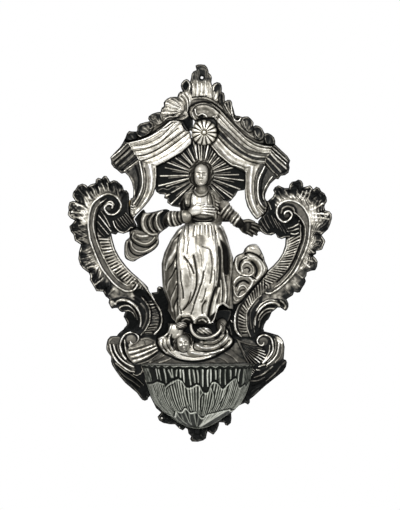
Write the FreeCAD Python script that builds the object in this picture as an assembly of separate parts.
import FreeCAD, Part
import math
import os

V = FreeCAD.Vector
os.makedirs("parts", exist_ok=True)

# ---------------------------------------------------------------------------
# Wall-hung holy water stoup. Millimetres. +Z up, -Y out of the wall.
# The origin is the centre of the nail hole, on the wall plane y = 0.
#
# Front outlines are tabled in drawing units, u to the right and v down.
# ---------------------------------------------------------------------------
UNIT = 0.9                 # mm per drawing unit
U0, V0 = 201.9, 77.4       # drawing units of the nail hole

T_SPINE = 1.6              # spine strap thickness
T_SHEET = 1.0              # embossed sheet thickness
Y_SPINE = -T_SPINE                     # front face of the spine
Y_L1 = Y_SPINE - T_SHEET               # front face of the rear sheets
Y_L2 = Y_L1 - T_SHEET                  # front face of the front sheets
T_WALL = 1.2               # wall of the hollow figure shells

R_NAIL = 1.25              # nail hole radius
SPINE_HALF_W = 6.0
SPINE_TOP_Z = 8.0
SPINE_BOTTOM_Z = -288.0

R_RIVET_HOLE = 1.0
R_RIVET = 0.95
R_RIVET_HEAD = 1.8
H_RIVET_HEAD = 0.9

R_M3 = 1.45                # screw and stud shank
R_M3_TAP = 1.5             # tapped hole
R_M3_CLEAR = 1.6           # clearance hole
R_CSK = 2.8                # countersunk head

BOWL_X = -3.5              # bowl axis
BOWL_Y = Y_L2 - T_SHEET    # bowl axis lies on the front of its back wall
BOWL_RIM_Z = -258.0
BOWL_WALL = 1.2
LIFT_TILT = 40.0           # the cup comes out this far from vertical
CUP_DEPTH = 22.0
CUP_WALL = 0.8

BAR_Z = (-126.5, -186.8)   # heights of the two bars behind the figure
BAR_H = 7.0

# ---------------------------------------------------------------------------
# helpers
# ---------------------------------------------------------------------------


def X(u):
    return (u - U0) * UNIT


def Z(v):
    return (V0 - v) * UNIT


def mm(pts):
    """drawing units to (x, z) in millimetres"""
    return [(X(u), Z(v)) for u, v in pts]


def prism(xz, y0, y1):
    """straight prism of an (x, z) polygon between two y planes"""
    pts = [V(x, y0, z) for x, z in xz]
    pts.append(pts[0])
    face = Part.Face(Part.makePolygon(pts))
    return face.extrude(V(0, y1 - y0, 0))


def box(x0, x1, y0, y1, z0, z1):
    return Part.makeBox(x1 - x0, y1 - y0, z1 - z0, V(x0, y0, z0))


def cyl_y(x, z, r, y0, y1):
    """cylinder along Y from y0 to y1"""
    lo, hi = min(y0, y1), max(y0, y1)
    return Part.makeCylinder(r, hi - lo, V(x, lo, z), V(0, 1, 0))


def cone_y(x, z, r0, r1, y0, y1):
    """cone along +Y with radius r0 at y0 and r1 at y1, y0 < y1"""
    return Part.makeCone(r0, r1, y1 - y0, V(x, y0, z), V(0, 1, 0))


def ribbon(xz, w0, w1=None, closed=False):
    """outline of a band of tapering width along a line"""
    if w1 is None:
        w1 = w0
    n = len(xz)
    left, right = [], []
    for i in range(n):
        if closed:
            a, b = xz[(i - 1) % n], xz[(i + 1) % n]
        else:
            a, b = xz[max(i - 1, 0)], xz[min(i + 1, n - 1)]
        dx, dz = b[0] - a[0], b[1] - a[1]
        length = math.hypot(dx, dz) or 1.0
        nx, nz = -dz / length, dx / length
        h = 0.5 * (w0 + (w1 - w0) * i / (n - 1.0))
        left.append((xz[i][0] + nx * h, xz[i][1] + nz * h))
        right.append((xz[i][0] - nx * h, xz[i][1] - nz * h))
    return left + right[::-1]


def fuse_all(shapes):
    out = shapes[0]
    if len(shapes) > 1:
        out = out.multiFuse(shapes[1:])
        out = out.removeSplitter()
    return out


def skin(sections):
    """closed faceted solid through polygons of equal point count"""
    faces = []

    def tri(a, b, c):
        if a.isEqual(b, 1e-6) or b.isEqual(c, 1e-6) or a.isEqual(c, 1e-6):
            return
        faces.append(Part.Face(Part.makePolygon([a, b, c, a])))

    n = len(sections[0])
    for s, t in zip(sections[:-1], sections[1:]):
        for i in range(n):
            j = (i + 1) % n
            tri(s[i], s[j], t[j])
            tri(s[i], t[j], t[i])
    for ring in (sections[0], sections[-1]):
        pts = list(ring)
        pts.append(pts[0])
        faces.append(Part.Face(Part.makePolygon(pts)))
    shell = Part.Shell(faces)
    shell.sewShape()
    solid = Part.Solid(shell)
    if solid.Volume < 0:
        solid.reverse()
    return solid


def blob(cx, cy, cz, rx, ry, rz, nlat=6, nlon=12, tilt=0.0):
    """faceted ellipsoid, its long axis turned by tilt degrees in the XZ plane"""
    secs = []
    ca, sa = math.cos(math.radians(tilt)), math.sin(math.radians(tilt))
    for k in range(nlat + 1):
        ph = math.pi * (k + 0.0) / nlat
        ph = min(max(ph, 0.16), math.pi - 0.16)
        ring = []
        for i in range(nlon):
            th = 2 * math.pi * i / nlon
            x = rx * math.cos(ph)
            y = ry * math.sin(ph) * math.cos(th)
            z = rz * math.sin(ph) * math.sin(th)
            ring.append(V(cx + x * ca - z * sa, cy + y, cz + x * sa + z * ca))
        secs.append(ring)
    return skin(secs)


def limb(p0, r0, p1, r1, n=10, steps=3):
    """faceted tapered limb with rounded ends between two points"""
    a, b = V(*p0), V(*p1)
    d = b.sub(a)
    length = d.Length
    d.normalize()
    up = V(0, 1, 0)
    e1 = d.cross(up)
    e1.normalize()
    e2 = d.cross(e1)
    secs = []

    def ring(c, r):
        return [c.add(e1 * (r * math.cos(2 * math.pi * i / n))).add(
            e2 * (r * math.sin(2 * math.pi * i / n))) for i in range(n)]

    secs.append(ring(a.sub(d * (r0 * 0.5)), r0 * 0.55))
    for k in range(steps + 1):
        t = k / float(steps)
        secs.append(ring(a.add(d * (length * t)), r0 + (r1 - r0) * t))
    secs.append(ring(b.add(d * (r1 * 0.5)), r1 * 0.55))
    return skin(secs)


def half_section(xl, xr, z, depth, yb, inset=0.0, n=14):
    """half-round section, flat side on y = yb, at height z"""
    c, h = 0.5 * (xl + xr), 0.5 * (xr - xl) - inset
    d = depth - inset
    pts = []
    for i in range(n + 1):
        t = math.pi * i / n
        pts.append(V(c - h * math.cos(t), yb - d * math.sin(t) ** 0.8, z))
    return pts


def half_shell(rows, yb):
    """hollow half-round shell, open at the back; rows of (ul, ur, v, depth)"""
    outer = skin([half_section(X(a), X(b), Z(v), d, yb) for a, b, v, d in rows])
    inner_rows = []
    for k, (a, b, v, d) in enumerate(rows):
        z = Z(v)
        if k == 0:
            z -= T_WALL
        if k == len(rows) - 1:
            z += T_WALL
        inner_rows.append(half_section(X(a), X(b), z, d, yb, T_WALL))
    inner = skin(inner_rows)
    back = box(-200, 200, yb, yb + 5, -400, 50)
    # the cavity runs through the back plane so the cut leaves a clean opening
    slab = []
    for s in inner_rows:
        slab.append([V(s[0].x, yb + 1.0, s[0].z), V(s[0].x, yb - 0.4, s[0].z),
                     V(s[-1].x, yb - 0.4, s[-1].z), V(s[-1].x, yb + 1.0, s[-1].z)])
    cavity = inner.fuse(skin(slab))
    shell = outer.cut(cavity)
    del back
    return outer, shell


def sheet(outline, y_front, ridges=(), holes=(), clip=None):
    """flat sheet with raised ridges on its front.
    ridges: (line, width, width at the end, height)"""
    base = prism(mm(outline), y_front, y_front + T_SHEET)
    limit = prism(mm(outline), y_front - 30, y_front + T_SHEET * 0.5)
    parts = [base]
    for line, w0, w1, h in ridges:
        rib = prism(ribbon(mm(line), w0, w1), y_front - h, y_front + 0.4)
        rib = rib.common(limit)
        if clip is not None:
            rib = rib.cut(clip)
        parts.append(rib)
    out = fuse_all(parts)
    for u, v, r in holes:
        out = out.cut(cyl_y(X(u), Z(v), r, y_front - 30, y_front + 10))
        # room for the rivet head in the raised work
        out = out.cut(cyl_y(X(u), Z(v), R_RIVET_HEAD + 0.25, y_front - 30, y_front))
    return out


NODES = {}


def keep(name, shape, must=True):
    solids = shape.Solids
    if must and len(solids) != 1:
        solids = sorted(solids, key=lambda s: -s.Volume)
        print("NOTE", name, "has", len(solids), "solids", [round(s.Volume, 2) for s in solids[:6]])
        solids = solids[:1]
    if len(solids) == 1:
        shape = solids[0]
    else:
        shape = Part.makeCompound(solids)
    NODES[name] = shape
    bb = shape.BoundBox
    print("%-20s solids %2d vol %9.1f valid %s  x %.1f..%.1f y %.1f..%.1f z %.1f..%.1f" % (
        name, len(shape.Solids), shape.Volume, shape.isValid(),
        bb.XMin, bb.XMax, bb.YMin, bb.YMax, bb.ZMin, bb.ZMax))
    shape.exportStep("parts/%s.step" % name)


# ---------------------------------------------------------------------------
# outline tables, drawing units
# ---------------------------------------------------------------------------

CREST = [(195.3, 65.5), (197.6, 64.3), (200.8, 64.1), (204.8, 64.6), (207.1, 66.9),
         (208.5, 70.3), (208.8, 72.6), (211.1, 74.9), (212, 77.8), (211.4, 81.8),
         (212.2, 85.3), (213.7, 83.2), (216.9, 81.8), (220, 82.7), (221.7, 85.3),
         (222, 88.7), (221.7, 91.3), (224, 92.7), (224.9, 95.6), (224.9, 99.6),
         (225.4, 101.0), (227.5, 99.6), (230.4, 99.6), (232.1, 101.9), (232.4, 105.4),
         (233.8, 109.4), (234.9, 114), (236.1, 115.4), (239, 115.7), (242.4, 116.8),
         (244.7, 116.3), (248.2, 116.3), (251.2, 118.9), (253.8, 122.4), (253.3, 126.1),
         (255.8, 125), (259.3, 125.8), (262.2, 128.1), (264.2, 132.2), (264.6, 133.2),
         (267.9, 132.7), (271.3, 134.4), (274.2, 137.3), (275.4, 140.8), (275.4, 144.2),
         (271.5, 147.8), (255.7, 147.5), (243, 140.5), (233.5, 131), (225.5, 122),
         (218, 113), (210.5, 107.5), (203.7, 106.5), (196, 109), (192, 113),
         (193, 121), (193, 131), (190.4, 130.5), (185.3, 132.8), (180.2, 127.5),
         (180, 124.5), (172, 125), (163, 131.5), (152.5, 139),
         (141.5, 144), (128.5, 147), (122.5, 143), (125.4, 137.3), (126.8, 133.3),
         (129.1, 130.7), (132, 131.3), (136.6, 131.3), (137.2, 129.9), (137.2, 126.4),
         (140, 123.5), (144.6, 122.1), (149.5, 121), (148.1, 118.9), (148.6, 116.1),
         (152.6, 113.4), (157.1, 112), (160.6, 111.7), (160.9, 109.9), (161.7, 107.6),
         (164, 105.9), (163.5, 102.5), (165.2, 100.2), (167.5, 98.2), (170.9, 96.7),
         (175.5, 96.5), (177.2, 96.7), (178.4, 93.3), (180.4, 91.3), (182.7, 91.3),
         (181.5, 88.7), (180.7, 85.8), (181.3, 83), (183.6, 80.1), (186.7, 78.7),
         (188.7, 79.8), (189.9, 81.5), (191, 77.8), (191.6, 73.8), (193.3, 71.2),
         (196.5, 69.8), (195.6, 66.3)]

CANOPY_L = [(110.2, 157.4), (114.8, 152.2), (119.9, 147.1), (124, 140.8), (128.2, 142.2),
            (140.4, 139.2), (150.6, 134.1), (160.8, 126.9), (170, 120.5), (176, 120),
            (183, 121), (186, 126), (190.5, 132.6), (192.2, 141.0), (191.4, 143.8),
            (181.2, 153), (169, 160.1), (156.7, 166.2), (156.9, 175.7), (156.1, 185.9),
            (153.6, 194.1), (149, 201.2), (143.4, 207.9), (135.7, 215.5), (133.2, 219.1),
            (130, 215), (129.2, 208), (130.6, 198.2), (132.7, 197.7), (133.4, 194.1),
            (133.2, 188.5), (131.6, 181.8), (128.6, 176.2), (125, 172.7), (121.4, 173.7),
            (117.3, 170.1), (113.8, 167.6), (111.2, 164), (111, 160.4)]

CANOPY_R = [(195, 121.3), (190.4, 117.2), (188.4, 112.1), (190.4, 107), (195.5, 103.5),
            (203.7, 101.4), (211.8, 103), (220, 109.1), (228.2, 118.3), (236.3, 127.4),
            (245.5, 136.6), (255.7, 142.8), (271, 145.8), (275.4, 144.4), (281.7, 150.5),
            (287.4, 155.7), (290.3, 160.4), (289.1, 164.5), (289.8, 167.6), (288.6, 172.7),
            (285, 175.2), (280.9, 175.7), (278.4, 179.3), (275.8, 178.8), (270.7, 183.4),
            (267.7, 188.5), (265.6, 193.6), (265.1, 197.7), (266.6, 200.7), (268, 206),
            (266, 212), (262.6, 215.5), (257.4, 219.6), (255.4, 218.6), (251.3, 213.5),
            (247.2, 206.3), (245.2, 198.7), (244.7, 191), (245.2, 180.8), (245.2, 172.7),
            (230.2, 165.2), (218, 155), (209.8, 144.8), (206, 140), (198, 141),
            (193, 139), (192, 131)]

RAY_PLATE = [(193.5, 125.5), (215, 125.5), (215, 143), (221, 151), (232, 161),
             (248.0, 168.8), (248.0, 176), (247.5, 184), (244.3, 190), (238, 190.9),
             (235.4, 195.4), (230.9, 200.7), (225.5, 203.4), (224, 206.5), (219, 206.5),
             (217, 199), (187, 199), (184, 206.8), (180, 207.5), (172, 206.1), (167.1, 202.5), (167.5, 199.4), (163.9, 198), (164.8, 194.5),
             (159.5, 194), (156.0, 191.5), (153.8, 184), (154.0, 176), (154.0, 163),
             (167, 156.5), (179, 149.5), (187, 142), (193.5, 136)]

SCROLL_L = [(129.2, 197.7), (128.8, 193.2), (126.5, 190.1), (123.8, 190.1), (123.4, 187.9),
            (122.1, 185.2), (119.4, 182.9), (116.7, 180.7), (113.6, 180), (110, 181.6),
            (108.7, 178.9), (106.4, 175.8), (103.8, 175.8), (101.5, 178.5), (97.9, 177.6),
            (95.7, 179.8), (95.3, 182.9), (90.4, 184.3), (87.7, 186.5), (85.9, 184.7),
            (82.3, 183.4), (77.9, 185.2), (75.2, 189.6), (73.4, 191.4), (72.5, 194.1),
            (72.5, 196.8), (75.6, 201.3), (72.9, 200.8), (69.4, 202.1), (68.3, 206.6),
            (68.5, 210.2), (67.6, 214.6), (70.3, 218.2), (74.7, 220.4), (72.1, 223.6),
            (69.2, 226.3), (70.7, 231.6), (73.4, 234.7), (74.7, 240.6), (80.8, 244.7),
            (78.8, 251.8), (78.3, 259), (80, 264.7), (82.6, 268.3), (88.7, 272.9),
            (90.2, 275.9), (89.7, 280), (92.8, 285.1), (96.3, 291.2), (103, 291.7),
            (105.5, 296.3), (109.2, 299.2), (108.4, 302.6), (110.3, 306.5), (111.8, 308.8),
            (114.9, 308), (117.6, 308), (119.5, 310.7), (121.8, 312.2), (125.2, 311.8),
            (124.1, 314.5), (123.5, 316.8), (125.6, 320.2), (127, 323.3), (126.4, 325.6),
            (124.5, 327.5), (123.3, 329.4), (128, 331), (136, 333.5), (141, 338),
            (147, 336), (156.7, 334.7), (161.8, 328.1), (163.4, 320.4), (162.3, 313.3),
            (158.8, 306.6), (155.2, 301), (152.4, 295.7), (148.9, 290.7), (147.9, 287.1),
            (145.3, 284.1), (138.7, 278), (131.5, 271.8), (125.9, 265.7), (119.8, 257.6),
            (115.2, 248.9), (112.7, 240.2), (111.3, 233.5), (115.8, 234.7), (118, 232.5),
            (123.4, 233.8), (127.9, 232.1), (134.9, 230.4), (137, 226), (134.9, 221.2),
            (133.2, 219.1), (130, 215), (129.2, 208)]

SCROLL_R = [(266.2, 199.2), (267.5, 201), (272.7, 196.8), (274.5, 192.8), (273.1, 190.1),
            (274.9, 187), (278.5, 185.2), (281.2, 186.5), (284.7, 187.9), (288.8, 187.9),
            (289.6, 184.3), (291.9, 181.6), (295.9, 180.9), (298.1, 179.4), (301.3, 180.3),
            (303, 182.9), (303.5, 187), (307.1, 186.1), (310.2, 185.2), (312, 187),
            (313.3, 189.2), (316.4, 186.5), (319.6, 187.9), (321.3, 191), (324.5, 193.2),
            (326.7, 197.2), (327.1, 201.3), (324.9, 204.8), (324.5, 207.1), (325.4, 210.2),
            (329.4, 211.1), (331.8, 213.8), (332.1, 218.2), (330.3, 224.5), (328, 229.4),
            (324.9, 232.1), (321.8, 235.1), (324.9, 239.7), (325.4, 241.7), (323.9, 245.3),
            (322.3, 249.4), (319.8, 250.4), (316.2, 250.9), (316.2, 254), (313.2, 255.5),
            (316.2, 258.6), (317.8, 261.6), (317.2, 266.7), (315.2, 270.3), (311.1, 270.8),
            (307, 272.3), (306.5, 275.9), (305, 278), (306, 281), (304.5, 284.6),
            (302.4, 287.7), (299.9, 292.2), (297.3, 292.8), (294.3, 291.7), (292.8, 295.3),
            (288.7, 297.9), (286.7, 299.2), (288.6, 303.4), (288.6, 306.8), (287.1, 309.9),
            (285.5, 310.9), (283.2, 309.5), (280.6, 307.6), (277.5, 307.6), (274.4, 310.3),
            (271.8, 312.2), (269.9, 316.8), (268.3, 319.5), (266.4, 321), (264.5, 324.4),
            (263.3, 328.7), (264.5, 331.3), (258, 335), (252, 339), (245, 337),
            (239.8, 336.4), (234.4, 330.6), (233.7, 323), (234.4, 315.3), (237.5, 307.7),
            (241.7, 300), (243.8, 295.7), (248.4, 290), (253, 285), (258, 280),
            (262, 276), (265.2, 271.8), (268.8, 269.3), (273.4, 265.2), (278.5, 259.6),
            (282.6, 253), (285.1, 245.3), (285.6, 237.7), (281.6, 239.1), (277.6, 237.6),
            (275.5, 233.5), (271.4, 235.5), (265.3, 234.5), (260.2, 231.4), (258.2, 226),
            (258.2, 221.2), (262.6, 215.5), (266, 212), (268, 206), (266.6, 200.7)]

APRON = [(123.3, 329.4), (120.3, 331.7), (118, 334), (116.8, 335.9), (113.4, 335.9),
         (110.3, 336.3), (107.6, 339.4), (106.5, 343.6), (106.2, 347.4), (106.4, 349.8),
         (108.2, 352.9), (110.9, 356.5), (111.1, 359.2), (110.9, 361.4), (112.2, 365.4),
         (115.4, 370.4), (119.8, 376.6), (125.2, 382.9), (131.4, 388.2), (136.8, 392.7),
         (139.9, 397.1), (142.1, 399.8), (144.8, 400.9), (147.5, 399.8), (148.4, 397.6),
         (150, 396), (156, 408), (161, 412.5), (157.5, 416.7), (159, 420.5),
         (163.2, 423), (170.2, 424.4), (175.1, 424.4), (179.3, 428.6), (182.8, 430.4),
         (185.6, 427.9), (187.7, 429.3), (188.4, 433.5), (191.2, 436.3), (190, 439.1),
         (191.9, 441.6), (197.5, 441.9), (203.2, 440.5), (206, 438.4), (207, 433.5),
         (207.7, 431.4), (213.3, 434.9), (217.2, 430), (219, 425.1), (219.3, 422.3),
         (224.2, 422.6), (225.3, 425.1), (227.7, 425.8), (230.9, 423), (231.6, 418.1),
         (231.2, 413.2), (238, 406), (245, 402.9), (248.1, 404.7), (249.9, 402.5),
         (249.9, 399.4), (253.9, 396.3), (259.3, 391.3), (265.1, 386), (271.8, 380.6),
         (278.5, 375.3), (283.4, 371.3), (286.1, 366.8), (287, 362.3), (286.1, 359.9),
         (283.8, 359.2), (284.3, 353.4), (284.7, 346.7), (283.4, 340.9), (281.7, 338.2),
         (278.3, 335.2), (270.6, 332.9), (264.5, 331.3), (258, 335), (252, 339),
         (245, 337), (239.8, 336.4), (234.4, 330.6), (233.7, 323), (234.4, 315.3),
         (237.5, 307.7), (241.7, 300), (243.8, 295.7), (245.6, 292.9), (240, 291.7),
         (233, 291.8), (230.6, 294), (229.6, 300), (224, 301.5), (216, 303), (213, 312),
         (213, 322), (222, 335), (224, 345), (166, 345), (169, 333), (171, 326), (181, 326),
         (181, 315), (172, 311), (170.2, 308), (168.6, 300), (166, 293.5), (163.5, 288), (161.5, 286.6),
         (158.7, 286.2), (157, 288), (157, 291.9), (151.2, 292.6), (152.4, 295.7),
         (155.2, 301), (158.8, 306.6), (162.3, 313.3), (163.4, 320.4), (161.8, 328.1),
         (156.7, 334.7), (147, 336), (141, 338), (136, 333.5), (128, 331)]

CLOUD_BASE = [(170.5, 322.6), (167.4, 324.5), (166.4, 332.7), (157.8, 336.7),
              (157.2, 342.9), (160.3, 350), (165.4, 354.1), (170.5, 356.1), (176.6, 359.2),
              (185, 361), (195, 361.5), (205, 360.5), (215, 357), (226.8, 349.8),
              (232.9, 344), (233.7, 340.2), (229.1, 334.4), (228.3, 330.6), (226, 327),
              (230.6, 318), (231, 309.6), (219, 309.6), (214, 316), (213, 322.6)]

MANTLE_SWAG = [(168.6, 226.6), (169.6, 221.5), (170.4, 212), (166.5, 209), (160.4, 210),
               (152.2, 212), (146.1, 212.4), (143.6, 209.2), (139, 213.2), (134.6, 219),
               (136.0, 222.0), (136.8, 226.8), (129.6, 231.2), (129.5, 237), (125.7, 240.6),
               (124.2, 246.7),
               (124.7, 256.9), (128.8, 260.5), (133.9, 261.5), (138, 259), (146.1, 254.9),
               (154.3, 249.8), (158.9, 243.7), (158.6, 235.6), (162.4, 231.2)]

CLOUD_RIGHT = [(234.6, 257.9), (238.0, 254.5), (243.0, 252.5), (244.5, 249.0),
               (248.0, 245.5), (251.6, 244.1), (256.4, 244.1), (260.2, 248.8),
               (263.9, 256.6), (265.1, 261.4), (268.2, 269.4), (264.0, 276), (260, 280.5),
               (255, 285.5), (250.4, 290.5), (245.8, 296.5), (242, 301), (236, 305.5),
               (230.6, 304), (231.0, 295), (230.2, 280.7), (231.3, 268.8)]

CRESCENT = [(192.7, 317.9), (190.4, 324.5), (191.9, 331.6), (196, 336.7), (205.2, 338.8),
            (213.9, 336.7), (219.5, 332.7), (221.5, 325.5), (218.5, 330.0),
            (212.5, 332.7), (205.0, 333.6), (198.8, 331.3), (195.4, 327.0),
            (193.6, 322.5)]

# ridge lines
A_L = [(112.5, 157.2), (120.5, 150.9), (127.4, 144.2), (133.2, 142.6), (141.8, 140.4),
       (150.4, 137.0), (160.8, 129.0), (170, 123)]
B_L = [(115.9, 163.0), (124.5, 155.1), (131.4, 149.4), (141.8, 146.8), (150.4, 143.3),
       (162.9, 136.6), (175.1, 127)]
D_L = [(128.4, 167.5), (137.7, 159.7), (147.5, 157.4), (162.9, 149.9), (177.1, 139.7),
       (184.3, 134.6)]
LEG_L = [(139.8, 163.4), (141.8, 169.6), (142.9, 178.3), (142.3, 188.5), (139.8, 197.1)]
A_R = [(203.7, 104.0), (211.0, 105.6), (218.5, 111.4), (226.5, 120.6), (234.5, 129.6),
       (244.5, 139.2), (255.2, 145.4), (271.4, 148.6), (280.2, 155.9), (286.4, 161)]
B_R = [(219.5, 122.9), (222, 125.4), (232.2, 135.6), (242.4, 143.8), (255.7, 149.9), (269.0, 152.2),
       (277.4, 160.4), (284.5, 166.2)]
D_R = [(222.5, 139.0), (227.1, 143.8), (237.3, 151.9), (250.6, 158), (264.9, 162.5),
       (271.7, 170.0), (276.0, 174.0)]
LEG_R = [(264.1, 169.6), (260.5, 175.7), (258, 181.8), (257.4, 191), (258, 196.7)]
C_OUT_L = [(111.8, 207.9), (112.7, 205.7), (110.4, 203.9), (107.3, 204.8),
           (105.5, 208.4), (106.9, 212), (110.4, 214.2), (114.9, 214), (118.9, 211.1),
           (120.7, 206.6), (120.3, 202.1), (117.6, 197.7), (112.7, 194.6), (107.3, 193.7),
           (101.5, 195.4), (96.6, 199.5), (93, 204.4), (90.4, 210.2), (88.6, 216.9),
           (87.9, 223.6), (88.1, 232.5), (90.7, 240.2), (93.3, 247.9), (96.8, 258.6),
           (100.4, 266.7), (105.5, 274.9), (111.6, 282.6), (118.3, 288.2), (125.9, 291.2)]
BAND_L = [(102.9, 234.0), (104.9, 241.7), (108.4, 252.4), (113, 262.6), (119.7, 271.8),
          (129.4, 281.5), (138, 290), (144, 297), (149, 305), (151.5, 313),
          (151.5, 319.1), (149.5, 326)]
C_OUT_R = [(287, 210.2), (290.1, 211.1), (291.9, 214.6), (291, 218.2), (287.9, 221.3),
           (283.8, 222.2), (280.7, 220.4), (277.6, 216.9), (276.5, 211.5), (277.6, 207.1),
           (281.2, 203), (286.1, 200.4), (291.4, 199.9), (296.8, 201.3), (301.3, 204.4),
           (304.8, 208.8), (307.9, 214.6), (309.7, 221.3), (309.7, 230), (309.1, 240.2),
           (306.5, 250.4), (303.5, 258.6), (299.4, 265.7), (295.3, 271.8), (290.7, 276.9),
           (285.6, 282.6), (279.5, 288.2), (274.4, 291.7)]
BAND_R = [(294.9, 238.0), (293.5, 247.3), (289.3, 255.0), (284.2, 262.6), (278.6, 268.8),
          (270.5, 276.5), (262.8, 282.6), (254.4, 291.0), (248.8, 297.7), (243.0, 304.6),
          (239.5, 310.7), (237.4, 317.3), (237.2, 325)]
VOL_L = [(126, 357.8), (122.5, 353.4), (120.3, 346.7), (119.9, 343.6), (121.8, 338.2),
         (124.9, 334.8)]
VOL_R = [(273.3, 350), (272.9, 343.6), (271.4, 338.6), (267.9, 335.8)]
WING_L = [(112.4, 344.5), (113.8, 351.2), (117.0, 357.9), (121.7, 363.6), (128.4, 368)]
WING_R = [(281, 345), (280.9, 351), (277.3, 357.6), (271.8, 363.0)]

# ---------------------------------------------------------------------------
# rivets: (u, v, y of the head's seat, y of the tail's end)
# ---------------------------------------------------------------------------
RIVETS = [
    (201.9, 92.0, Y_L1, 0.0),          # crest to spine
    (166.0, 127.0, Y_L2, Y_SPINE),     # left canopy to crest flange
    (230.0, 124.5, Y_L2, Y_SPINE),     # right canopy to crest flange
    (165.0, 159.3, Y_L2, Y_SPINE),     # left canopy to ray plate
    (227.0, 160.0, Y_L2, Y_SPINE),     # right canopy to ray plate
    (134.0, 204.0, Y_L2, Y_SPINE),     # left leg to joint plate
    (124.0, 206.0, Y_L2, Y_SPINE),     # left scroll to joint plate
    (124.0, 221.0, Y_L2, Y_SPINE),
    (260.5, 206.0, Y_L2, Y_SPINE),     # right leg to joint plate
    (271.0, 208.0, Y_L2, Y_SPINE),     # right scroll to joint plate
    (268.0, 221.0, Y_L2, Y_SPINE),
    (144.0, 329.5, Y_L2, Y_SPINE),     # left scroll foot to cross strap
    (249.0, 330.5, Y_L2, Y_SPINE),     # right scroll foot to cross strap
    (149.0, 343.5, Y_L2, Y_SPINE),     # apron to cross strap
    (254.0, 344.5, Y_L2, Y_SPINE),
]
STUDS = [(-31.0, -268.0), (24.0, -268.0), (-3.5, -301.0)]


def rivet_holes(*index):
    return [(RIVETS[i][0], RIVETS[i][1], R_RIVET_HOLE) for i in index]


rivets = []
for u, v, y_seat, y_tail in RIVETS:
    x, z = X(u), Z(v)
    prof = [V(x, y_seat - H_RIVET_HEAD, z), V(x + 0.55 * R_RIVET_HEAD, y_seat - H_RIVET_HEAD * 0.9, z),
            V(x + 0.9 * R_RIVET_HEAD, y_seat - H_RIVET_HEAD * 0.5, z),
            V(x + R_RIVET_HEAD, y_seat, z), V(x + R_RIVET, y_seat, z)]
    if y_tail < -0.01:
        prof += [V(x + R_RIVET, y_tail, z), V(x + 1.5, y_tail, z), V(x + 1.3, y_tail + 0.5, z),
                 V(x, y_tail + 0.5, z)]
    else:
        prof += [V(x + R_RIVET, y_tail, z), V(x, y_tail, z)]
    prof.append(prof[0])
    face = Part.Face(Part.makePolygon(prof))
    rivets.append(face.revolve(V(x, 0, z), V(0, 1, 0), 360))
keep("rivets", Part.makeCompound(rivets), must=False)

# ---------------------------------------------------------------------------
# straps and joint plates, hidden behind the sheets
# ---------------------------------------------------------------------------
spine = box(-SPINE_HALF_W, SPINE_HALF_W, -T_SPINE, 0, SPINE_BOTTOM_Z, SPINE_TOP_Z - SPINE_HALF_W + 0.001)
cap = cyl_y(0, SPINE_TOP_Z - SPINE_HALF_W, SPINE_HALF_W, -T_SPINE, 0)
spine = spine.fuse(cap).removeSplitter()
spine = spine.cut(cyl_y(0, 0, R_NAIL, -5, 5))
spine = spine.cut(cyl_y(X(201.9), Z(92.0), R_RIVET_HOLE, -5, 5))
ROSETTE_X, ROSETTE_Z = X(204.2), Z(132.6)
CSK_POINTS = [(ROSETTE_X, ROSETTE_Z)] + [(0.0, zz) for zz in BAR_Z]
for x, z in CSK_POINTS:
    spine = spine.cut(cyl_y(x, z, R_M3_CLEAR, -5, 5))
    spine = spine.cut(cone_y(x, z, R_M3_CLEAR, R_CSK + 0.25, -1.4, 0.0))
STRAP_RIVET = (0.0, Z(341.5))
spine = spine.cut(cyl_y(STRAP_RIVET[0], STRAP_RIVET[1], R_RIVET_HOLE, -5, 5))
keep("spine_strap", spine)

CROSS = [(122, 353), (122, 341), (137, 339.5), (137, 322), (151, 322), (151, 338.5),
         (243, 338.5), (243, 322), (255, 322), (255, 339.5), (268, 341), (268, 353)]
cross = prism(mm(CROSS), Y_L1, Y_SPINE)
for i in (11, 12, 13, 14):
    cross = cross.cut(cyl_y(X(RIVETS[i][0]), Z(RIVETS[i][1]), R_RIVET_HOLE, -9, 5))
for u0, u1 in ((122, 129), (261, 268)):
    foot = box(X(u0), X(u1), Y_SPINE - 0.3, 0.0, Z(353), Z(341.2))
    cross = cross.fuse(foot)
cross = cross.removeSplitter()
cross = cross.cut(cyl_y(STRAP_RIVET[0], STRAP_RIVET[1], R_RIVET_HOLE, -9, 5))
keep("lower_cross_strap", cross)

joint_l = prism(mm([(118, 200), (136, 200), (138.5, 205), (134, 213), (134, 226), (118, 226)]), Y_L1, Y_SPINE)
for i in (5, 6, 7):
    joint_l = joint_l.cut(cyl_y(X(RIVETS[i][0]), Z(RIVETS[i][1]), R_RIVET_HOLE, -9, 5))
keep("joint_plate_left", joint_l)
joint_r = prism(mm([(255, 203), (258, 200), (276, 202), (275, 226), (262, 226), (261.0, 213)]), Y_L1, Y_SPINE)
for i in (8, 9, 10):
    joint_r = joint_r.cut(cyl_y(X(RIVETS[i][0]), Z(RIVETS[i][1]), R_RIVET_HOLE, -9, 5))
keep("joint_plate_right", joint_r)

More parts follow.
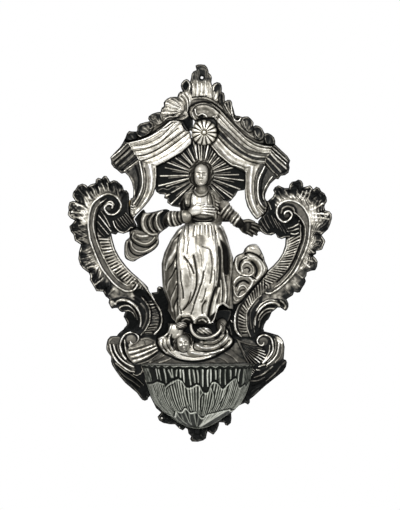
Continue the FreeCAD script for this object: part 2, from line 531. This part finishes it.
# ---------------------------------------------------------------------------
# upper sheets
# ---------------------------------------------------------------------------
crest_ridges = [
    ([(201.5, 82.0), (201.5, 100.0)], 2.2, 3.4, 3.0),
    ([(194, 84), (192.5, 99.0)], 1.8, 2.6, 2.5),
    ([(208, 82), (210.5, 99.0)], 1.8, 2.6, 2.5),
    ([(168, 102), (174, 109), (182, 108)], 3.4, 2.0, 4.0),
    ([(216.5, 86), (218.5, 95.0), (216, 102.0)], 3.4, 2.0, 3.5),
    ([(152, 118), (158, 122), (166, 119)], 3.4, 2.0, 3.5),
    ([(228, 104), (231, 112), (238, 121)], 3.0, 2.2, 3.0),
    ([(141, 127), (146, 131.5), (152, 129)], 3.2, 2.0, 3.0),
    ([(247, 120), (250, 130), (258, 137)], 3.2, 2.0, 3.0),
]
crest_clip = prism(mm([(190, 101), (212, 101), (236, 127), (256, 142), (276, 145), (256, 160), (200, 160)]),
                   Y_L1 - 40, Y_L1)
crest = sheet(CREST, Y_L1, crest_ridges, rivet_holes(0, 1, 2) + [(U0, V0, R_NAIL)], clip=crest_clip)
keep("crest_shell", crest)

rosette_zone = cyl_y(ROSETTE_X, ROSETTE_Z, 12.6, Y_L2 - 40, Y_L2)
canopy_l = sheet(CANOPY_L, Y_L2,
                 [(A_L, 2.6, 2.6, 8.0), (B_L, 2.4, 2.4, 6.5), (D_L, 2.4, 2.4, 5.0), (LEG_L, 4.0, 3.0, 5.0)],
                 rivet_holes(1, 3, 5), clip=rosette_zone)
keep("canopy_left", canopy_l)
canopy_r = sheet(CANOPY_R, Y_L2,
                 [(A_R, 2.6, 2.6, 8.0), (B_R, 2.4, 2.4, 6.5), (D_R, 2.4, 2.4, 5.0), (LEG_R, 4.0, 3.0, 5.0)],
                 rivet_holes(2, 4, 8), clip=rosette_zone)
canopy_r = canopy_r.cut(cyl_y(ROSETTE_X, ROSETTE_Z, R_M3_CLEAR, -40, 5))
keep("canopy_right", canopy_r)

ray_ridges = []
for k in range(20):
    a = math.radians(9.0 + 18.0 * k)
    u1, v1 = 201.5 + 15.0 * math.cos(a), 175 - 15.0 * math.sin(a)
    r2 = 27.0
    u2, v2 = 201.5 + r2 * math.cos(a), 175 - r2 * math.sin(a)
    if v2 > 196 or v1 > 190:
        continue
    ray_ridges.append(([(u1, v1), (u2, v2)], 1.0, 1.6, 0.8))
ray_clip = prism(mm([(150, 120), (255, 120), (255, 171), (245.2, 172.7), (230.2, 165.2), (218, 155),
                     (209.8, 144.8), (200, 146), (191.4, 144.5), (181.2, 153.8), (169, 161), (150, 170)]),
                 Y_L1 - 40, Y_L1)
ray = sheet(RAY_PLATE, Y_L1, ray_ridges, rivet_holes(3, 4), clip=ray_clip)
ray = ray.cut(cyl_y(ROSETTE_X, ROSETTE_Z, R_M3_CLEAR, -40, 5))
keep("ray_plate", ray)

# applied rosette: a boss with a ring of petals, tapped for its screw
N_PETAL = 17
ros_pts = []
for k in range(N_PETAL * 4):
    a = 2 * math.pi * k / (N_PETAL * 4)
    r = 11.9 - 0.8 * (0.5 - 0.5 * math.cos(N_PETAL * a)) * 1.4
    ros_pts.append((ROSETTE_X + r * math.cos(a), ROSETTE_Z + r * math.sin(a)))
rosette = prism(ros_pts, Y_L2 - 4.6, Y_L2 - 3.2)
rosette = rosette.fuse(cone_y(ROSETTE_X, ROSETTE_Z, 6.5, 4.0, Y_L2 - 4.0, Y_L2))
rosette = rosette.fuse(cyl_y(ROSETTE_X, ROSETTE_Z, 2.7, Y_L2 - 6.0, Y_L2 - 4.0)).removeSplitter()
rosette = rosette.cut(cyl_y(ROSETTE_X, ROSETTE_Z, R_M3_TAP, Y_L2 - 3.4, Y_L2 + 1))
keep("rosette", rosette)


def csk_screw(x, z, y_end):
    """countersunk screw, head flush with the wall plane"""
    prof = [V(x, y_end, z), V(x + R_M3 - 0.3, y_end, z), V(x + R_M3, y_end + 0.3, z),
            V(x + R_M3, -1.35, z), V(x + R_CSK, -0.1, z), V(x + R_CSK, -0.02, z),
            V(x + 1.0, -0.02, z), V(x + 1.0, -0.6, z), V(x, -0.6, z), V(x, y_end, z)]
    return Part.Face(Part.makePolygon(prof)).revolve(V(x, 0, z), V(0, 1, 0), 360)


keep("rosette_screw", csk_screw(ROSETTE_X, ROSETTE_Z, Y_L2 - 3.0))

# ---------------------------------------------------------------------------
# side scrolls
# ---------------------------------------------------------------------------
scroll_l = sheet(SCROLL_L, Y_L2, [
    (C_OUT_L, 2.8, 3.2, 6.0), (BAND_L, 4.5, 4.5, 3.0),
    ([(73.5, 193.5), (84, 197), (90, 203)], 5.0, 2.5, 3.0),
    ([(71.5, 213), (80, 216), (86, 220)], 5.0, 2.5, 3.0),
    ([(82, 255), (88, 252), (93, 250)], 5.0, 2.5, 3.0),
    ([(98, 183), (101, 188), (102, 192)], 5.0, 2.5, 3.0),
    ([(113, 306), (124, 301), (134, 304), (140, 313)], 3.0, 2.4, 3.5),
], rivet_holes(6, 7, 11))
keep("scroll_left", scroll_l)
scroll_r = sheet(SCROLL_R, Y_L2, [
    (C_OUT_R, 2.8, 3.2, 6.0), (BAND_R, 4.5, 4.5, 3.0),
    ([(324, 196), (315, 200), (309, 205)], 5.0, 2.5, 3.0),
    ([(328, 217), (320, 220), (313, 224)], 5.0, 2.5, 3.0),
    ([(314, 262), (308, 258), (304, 254)], 5.0, 2.5, 3.0),
    ([(298, 184), (297, 190), (296, 196)], 5.0, 2.5, 3.0),
    ([(284, 307), (276, 302), (266, 303), (258, 310)], 3.0, 2.4, 3.5),
], rivet_holes(9, 10, 12))
keep("scroll_right", scroll_r)

# ---------------------------------------------------------------------------
# apron and bowl
# ---------------------------------------------------------------------------
apron = sheet(APRON, Y_L2, [
    (VOL_L, 2.6, 2.6, 4.0), (VOL_R, 2.6, 2.6, 4.0), (WING_L, 2.6, 3.0, 3.0), (WING_R, 2.6, 3.0, 3.0),
    ([(134, 358), (146, 350), (150, 345)], 3.0, 3.0, 3.0),
    ([(262, 358), (250, 350), (247, 345)], 3.0, 3.0, 3.0),
    ([(120, 372), (131, 382), (139, 390)], 3.0, 3.0, 2.5),
    ([(275, 371), (264, 381), (255, 389)], 3.0, 3.0, 2.5),
], rivet_holes(13, 14))
for x, z in STUDS:
    apron = apron.cut(cyl_y(x, z, R_M3_CLEAR, -40, 5))
keep("apron_plate", apron)

# outer profile of the bowl, (radius, z), from the rim down
BOWL_PROFILE = [(51.3, BOWL_RIM_Z), (51.3, -259.4), (49.6, -260.6), (48.4, -266.0), (46.4, -275.9),
                (42.8, -286.2), (38.3, -293.9), (32.4, -299.7), (27.7, -303.5), (19.8, -309.2),
                (12.0, -313.4), (3.6, -316.3), (0.0, -316.6)]
BOWL_INNER = [(50.1, BOWL_RIM_Z), (50.1, -259.2), (48.3, -260.7), (47.2, -266.0), (45.2, -275.7),
              (41.6, -285.6), (37.3, -293.0), (31.6, -298.6), (27.0, -302.3), (19.2, -307.9),
              (11.6, -312.0), (3.4, -314.9), (0.0, -315.2)]
prof = [V(BOWL_X + r, BOWL_Y, z) for r, z in BOWL_PROFILE]
prof += [V(BOWL_X + r, BOWL_Y, z) for r, z in reversed(BOWL_INNER)]
prof.append(prof[0])
bowl = Part.Face(Part.makePolygon(prof)).revolve(V(BOWL_X, BOWL_Y, 0), V(0, 0, 1), -180)
keep("bowl_shell", bowl)
print("bowl y", bowl.BoundBox.YMin, bowl.BoundBox.YMax)

half = [(BOWL_X + r, z) for r, z in BOWL_PROFILE] + [(BOWL_X - r, z) for r, z in reversed(BOWL_PROFILE[:-1])]
back_wall = prism(half, BOWL_Y, Y_L2)
for x, z in STUDS:
    back_wall = back_wall.cut(cyl_y(x, z, R_M3_CLEAR, -40, 5))
keep("bowl_back_wall", back_wall)

studs, washers, nuts = [], [], []
Y_STUD_HEAD = BOWL_Y
for x, z in STUDS:
    head = [V(x, Y_STUD_HEAD - 1.4, z), V(x + 1.8, Y_STUD_HEAD - 1.3, z), V(x + 2.8, Y_STUD_HEAD - 0.6, z),
            V(x + 2.9, Y_STUD_HEAD, z), V(x + R_M3, Y_STUD_HEAD, z), V(x + R_M3, -0.5, z),
            V(x + R_M3 - 0.3, -0.2, z), V(x, -0.2, z)]
    head.append(head[0])
    studs.append(Part.Face(Part.makePolygon(head)).revolve(V(x, 0, z), V(0, 1, 0), 360))
    w = cyl_y(x, z, 3.4, Y_L1, Y_L1 + 0.5).cut(cyl_y(x, z, R_M3_CLEAR, -9, 5))
    washers.append(w)
    hexa = [(x + 3.1 * math.cos(math.radians(60 * k)), z + 3.1 * math.sin(math.radians(60 * k))) for k in range(6)]
    nuts.append(prism(hexa, Y_L1 + 0.5, Y_L1 + 2.1).cut(cyl_y(x, z, R_M3_TAP, -9, 5)))
keep("bowl_studs", Part.makeCompound(studs), must=False)
keep("bowl_washers", Part.makeCompound(washers), must=False)
keep("bowl_nuts", Part.makeCompound(nuts), must=False)


# lift-out cup: a D-shaped pan whose front leans back more than it is tilted
def d_ring(a, b, yb, z, n=28):
    pts = []
    for i in range(n + 1):
        t = math.pi * i / n
        pts.append(V(BOWL_X - a * math.cos(t), yb - b * math.sin(t), z))
    return pts


CUP_TOP = BOWL_RIM_Z
CUP_BACK = BOWL_Y - 3.2
outer = skin([d_ring(48.4, 44.2, CUP_BACK, CUP_TOP), d_ring(30.5, 23.4, CUP_BACK - 0.6, CUP_TOP - CUP_DEPTH)])
inner = skin([d_ring(48.4 - 0.9, 44.2 - 0.9, CUP_BACK - CUP_WALL, CUP_TOP + 0.001),
              d_ring(30.5 - 0.2, 23.4 - 1.2, CUP_BACK - 0.6 - CUP_WALL, CUP_TOP - CUP_DEPTH + CUP_WALL)])
lip_h = 0.6
lip = skin([d_ring(50.7, 50.7 - 0.4, BOWL_Y - 0.4, CUP_TOP), d_ring(50.7, 50.7 - 0.4, BOWL_Y - 0.4, CUP_TOP + lip_h)])
hole = skin([d_ring(47.5, 43.3, CUP_BACK - CUP_WALL, CUP_TOP - 1.0), d_ring(47.5, 43.3, CUP_BACK - CUP_WALL, CUP_TOP + 2)])
cup = outer.cut(inner).fuse(lip.cut(hole)).removeSplitter()
keep("bowl_liner", cup)

# ---------------------------------------------------------------------------
# figure group; every shell is open at the back on the plane y = Y_L2
# ---------------------------------------------------------------------------
GOWN = [(185.0, 221.5, 224.2, 19.0), (173.6, 227.0, 236.0, 22.5), (164.6, 231.0, 252.0, 25.0),
        (161.8, 232.6, 268.0, 26.0), (162.3, 231.6, 284.0, 26.0), (167.5, 232.6, 300.0, 25.0),
        (168.5, 219.0, 309.4, 24.0), (171.5, 213.5, 322.4, 21.0)]
BUST = [(184.0, 221.0, 224.0, 18.0), (180.6, 225.5, 213.0, 17.5), (179.6, 224.5, 204.0, 16.5),
        (182.6, 219.6, 195.5, 13.0), (190.5, 213.5, 190.6, 9.0)]
gown_outer, gown = half_shell(GOWN[::-1], Y_L2)
bust_outer, bust = half_shell(BUST, Y_L2)
keep("figure_gown", gown)
keep("figure_bust", bust)

bars = []
bars.append(box(X(147), X(238), Y_L2, Y_SPINE, BAR_Z[0] - BAR_H / 2, BAR_Z[0] + BAR_H / 2))
bars.append(box(X(164.5), X(243), Y_L2, Y_SPINE, BAR_Z[1] - BAR_H / 2, BAR_Z[1] + BAR_H / 2))
bars = [b.cut(cyl_y(0, z, R_M3_TAP, -20, 5)) for b, z in zip(bars, BAR_Z)]
keep("figure_bars", Part.makeCompound(bars), must=False)
keep("figure_screws", Part.makeCompound([csk_screw(0, z, Y_L2 + 0.05) for z in BAR_Z]), must=False)

# head: egg, neck and a cap of hair around it
HEAD_X, HEAD_Z = X(201.6), Z(175.0)
HEAD_Y = Y_L1 - 8.8
egg = blob(HEAD_X, HEAD_Y - 1.6, HEAD_Z - 0.4, 9.2, 7.0, 7.2, nlat=8, nlon=14, tilt=87.0)
hair = blob(HEAD_X, HEAD_Y, HEAD_Z + 1.4, 10.6, 7.2, 10.4, nlat=8, nlon=14, tilt=87.0)
neck = limb((X(202.2), Y_L2 - 5.0, Z(189.5)), 5.0, (HEAD_X + 0.3, HEAD_Y - 0.5, HEAD_Z - 7.0), 4.2)
head = hair.fuse(egg).fuse(neck).cut(bust_outer)
head = head.cut(box(-200, 200, Y_L1, 5, -400, 50))
keep("figure_head", head.removeSplitter())

# arms with their hands
sleeve = limb((X(172.5), Y_L2 - 7.6, Z(219.3)), 7.4, (X(187.5), Y_L2 - 19.5, Z(216.0)), 6.0)
palm = blob(X(196.0), Y_L2 - 20.8, Z(211.2), 7.2, 2.6, 4.4, tilt=14.0)
fing = [limb((X(198.5), Y_L2 - 20.6, Z(208.0 + 2.4 * k)), 1.5, (X(210.5 + 1.2 * math.sin(k)), Y_L2 - 19.4, Z(204.6 + 2.5 * k)), 1.1, n=8)
        for k in range(4)]
arm1 = fuse_all([sleeve, palm] + fing)
arm1 = arm1.cut(bust_outer).cut(gown_outer)
arm1 = arm1.cut(box(-200, 200, Y_L2, 5, -400, 50))
keep("hand_on_breast", arm1)

sleeve = limb((X(224.5), Y_L2 - 7.4, Z(207.0)), 7.2, (X(240.0), Y_L2 - 8.6, Z(219.4)), 6.0)
palm = blob(X(247.5), Y_L2 - 8.6, Z(226.0), 6.2, 2.8, 4.2, tilt=-35.0)
fing = [limb((X(249.0), Y_L2 - 8.6, Z(223.6 + 1.9 * k)), 1.4,
             (X(259.4 - 1.7 * k), Y_L2 - 9.4, Z(228.0 + 2.6 * k)), 1.0, n=8) for k in range(4)]
arm2 = fuse_all([sleeve, palm] + fing)
arm2 = arm2.cut(bust_outer).cut(gown_outer)
arm2 = arm2.cut(box(-200, 200, Y_L2, 5, -400, 50))
keep("hand_outstretched", arm2)

# cloud under the figure, with a small cherub head at its left
CLOUD_LUMPS = [(176, 331, 8.0, 9.0), (164.5, 342.5, 7.0, 6.5), (182.5, 341.5, 9.0, 8.6), (196, 349.5, 9.5, 7.6),
               (212, 345.5, 9.5, 8.4), (225.5, 340.5, 7.6, 7.6), (222, 325.5, 6.0, 8.0)]
cloud = [prism(mm(CLOUD_BASE), Y_L2 - 1.4, Y_L2)]
cloud_limit = prism(mm(CLOUD_BASE), Y_L2 - 30, Y_L2)
for u, v, r, d in CLOUD_LUMPS:
    cloud.append(blob(X(u), Y_L2 - 0.8, Z(v), r, d, r * 0.9).common(cloud_limit))
cloud = fuse_all(cloud).cut(gown_outer)
cloud_solid = cloud
keep("cloud_base", cloud)

# the two shoes stand in front of the hem, on the cloud
shoe_l = blob(X(181.7), Y_L2 - 15.0, Z(326.6), 5.4, 8.0, 3.7)
shoe_r = blob(X(204.2), Y_L2 - 14.6, Z(332.6), 6.3, 8.6, 4.0)
moon = prism(mm(CRESCENT), Y_L2 - 17.5, Y_L2 - 11.0)
moon_stem = limb((X(205.0), Y_L2 - 6.0, Z(336.4)), 2.2, (X(205.0), Y_L2 - 12.0, Z(336.2)), 2.0, n=8)
moon = moon.fuse(moon_stem).cut(gown_outer).cut(cloud_solid).removeSplitter()
shoes = []
for s in (shoe_l, shoe_r):
    s = s.cut(gown_outer).cut(cloud_solid).cut(moon)
    shoes.append(sorted(s.Solids, key=lambda q: -q.Volume)[0])
keep("shoes", Part.makeCompound(shoes), must=False)
keep("crescent_moon", moon)

swag = [prism(mm(MANTLE_SWAG), Y_L2 - 2.0, Y_L2)]
swag_limit = prism(mm(MANTLE_SWAG), Y_L2 - 30, Y_L2)
for p0, r0, p1, r1 in (((165, 216), 6.4, (151, 221), 6.4), ((151, 221), 6.2, (146, 229), 5.6),
                       ((136, 238), 6.0, (147, 243), 7.6), ((130, 251), 5.4, (146, 246), 7.0)):
    swag.append(limb((X(p0[0]), Y_L2 - 2.0, Z(p0[1])), r0, (X(p1[0]), Y_L2 - 2.0, Z(p1[1])), r1).common(swag_limit))
swag = fuse_all(swag).cut(arm1).cut(gown_outer).cut(bust_outer)
keep("mantle_swag", swag)

cr = [prism(mm(CLOUD_RIGHT), Y_L2 - 1.6, Y_L2)]
cr_limit = prism(mm(CLOUD_RIGHT), Y_L2 - 30, Y_L2)
for u, v, r, d in ((253.5, 251, 7.4, 7.0), (247.5, 262.5, 10.5, 8.6), (243.5, 284.0, 9.0, 7.6), (257.5, 271.5, 8.0, 7.0)):
    cr.append(blob(X(u), Y_L2 - 0.8, Z(v), r, d, r * 0.9).common(cr_limit))
cr = fuse_all(cr).cut(gown_outer)
keep("cloud_right", cr)

# strap rivet through the cross strap and the spine, flush at the wall plane
x, z = STRAP_RIVET
prof = [V(x, Y_L1 - 0.7, z), V(x + 1.4, Y_L1 - 0.6, z), V(x + 1.8, Y_L1, z), V(x + R_RIVET, Y_L1, z),
        V(x + R_RIVET, 0, z), V(x, 0, z)]
prof.append(prof[0])
keep("strap_rivet", Part.Face(Part.makePolygon(prof)).revolve(V(x, 0, z), V(0, 1, 0), 360))

# ---------------------------------------------------------------------------
total = sum(s.Volume for s in NODES.values())
allbb = FreeCAD.BoundBox()
for s in NODES.values():
    allbb.add(s.BoundBox)
print("nodes", len(NODES), "volume cm3 %.1f" % (total / 1000.0))
print("box", allbb.XMin, allbb.XMax, allbb.YMin, allbb.YMax, allbb.ZMin, allbb.ZMax)
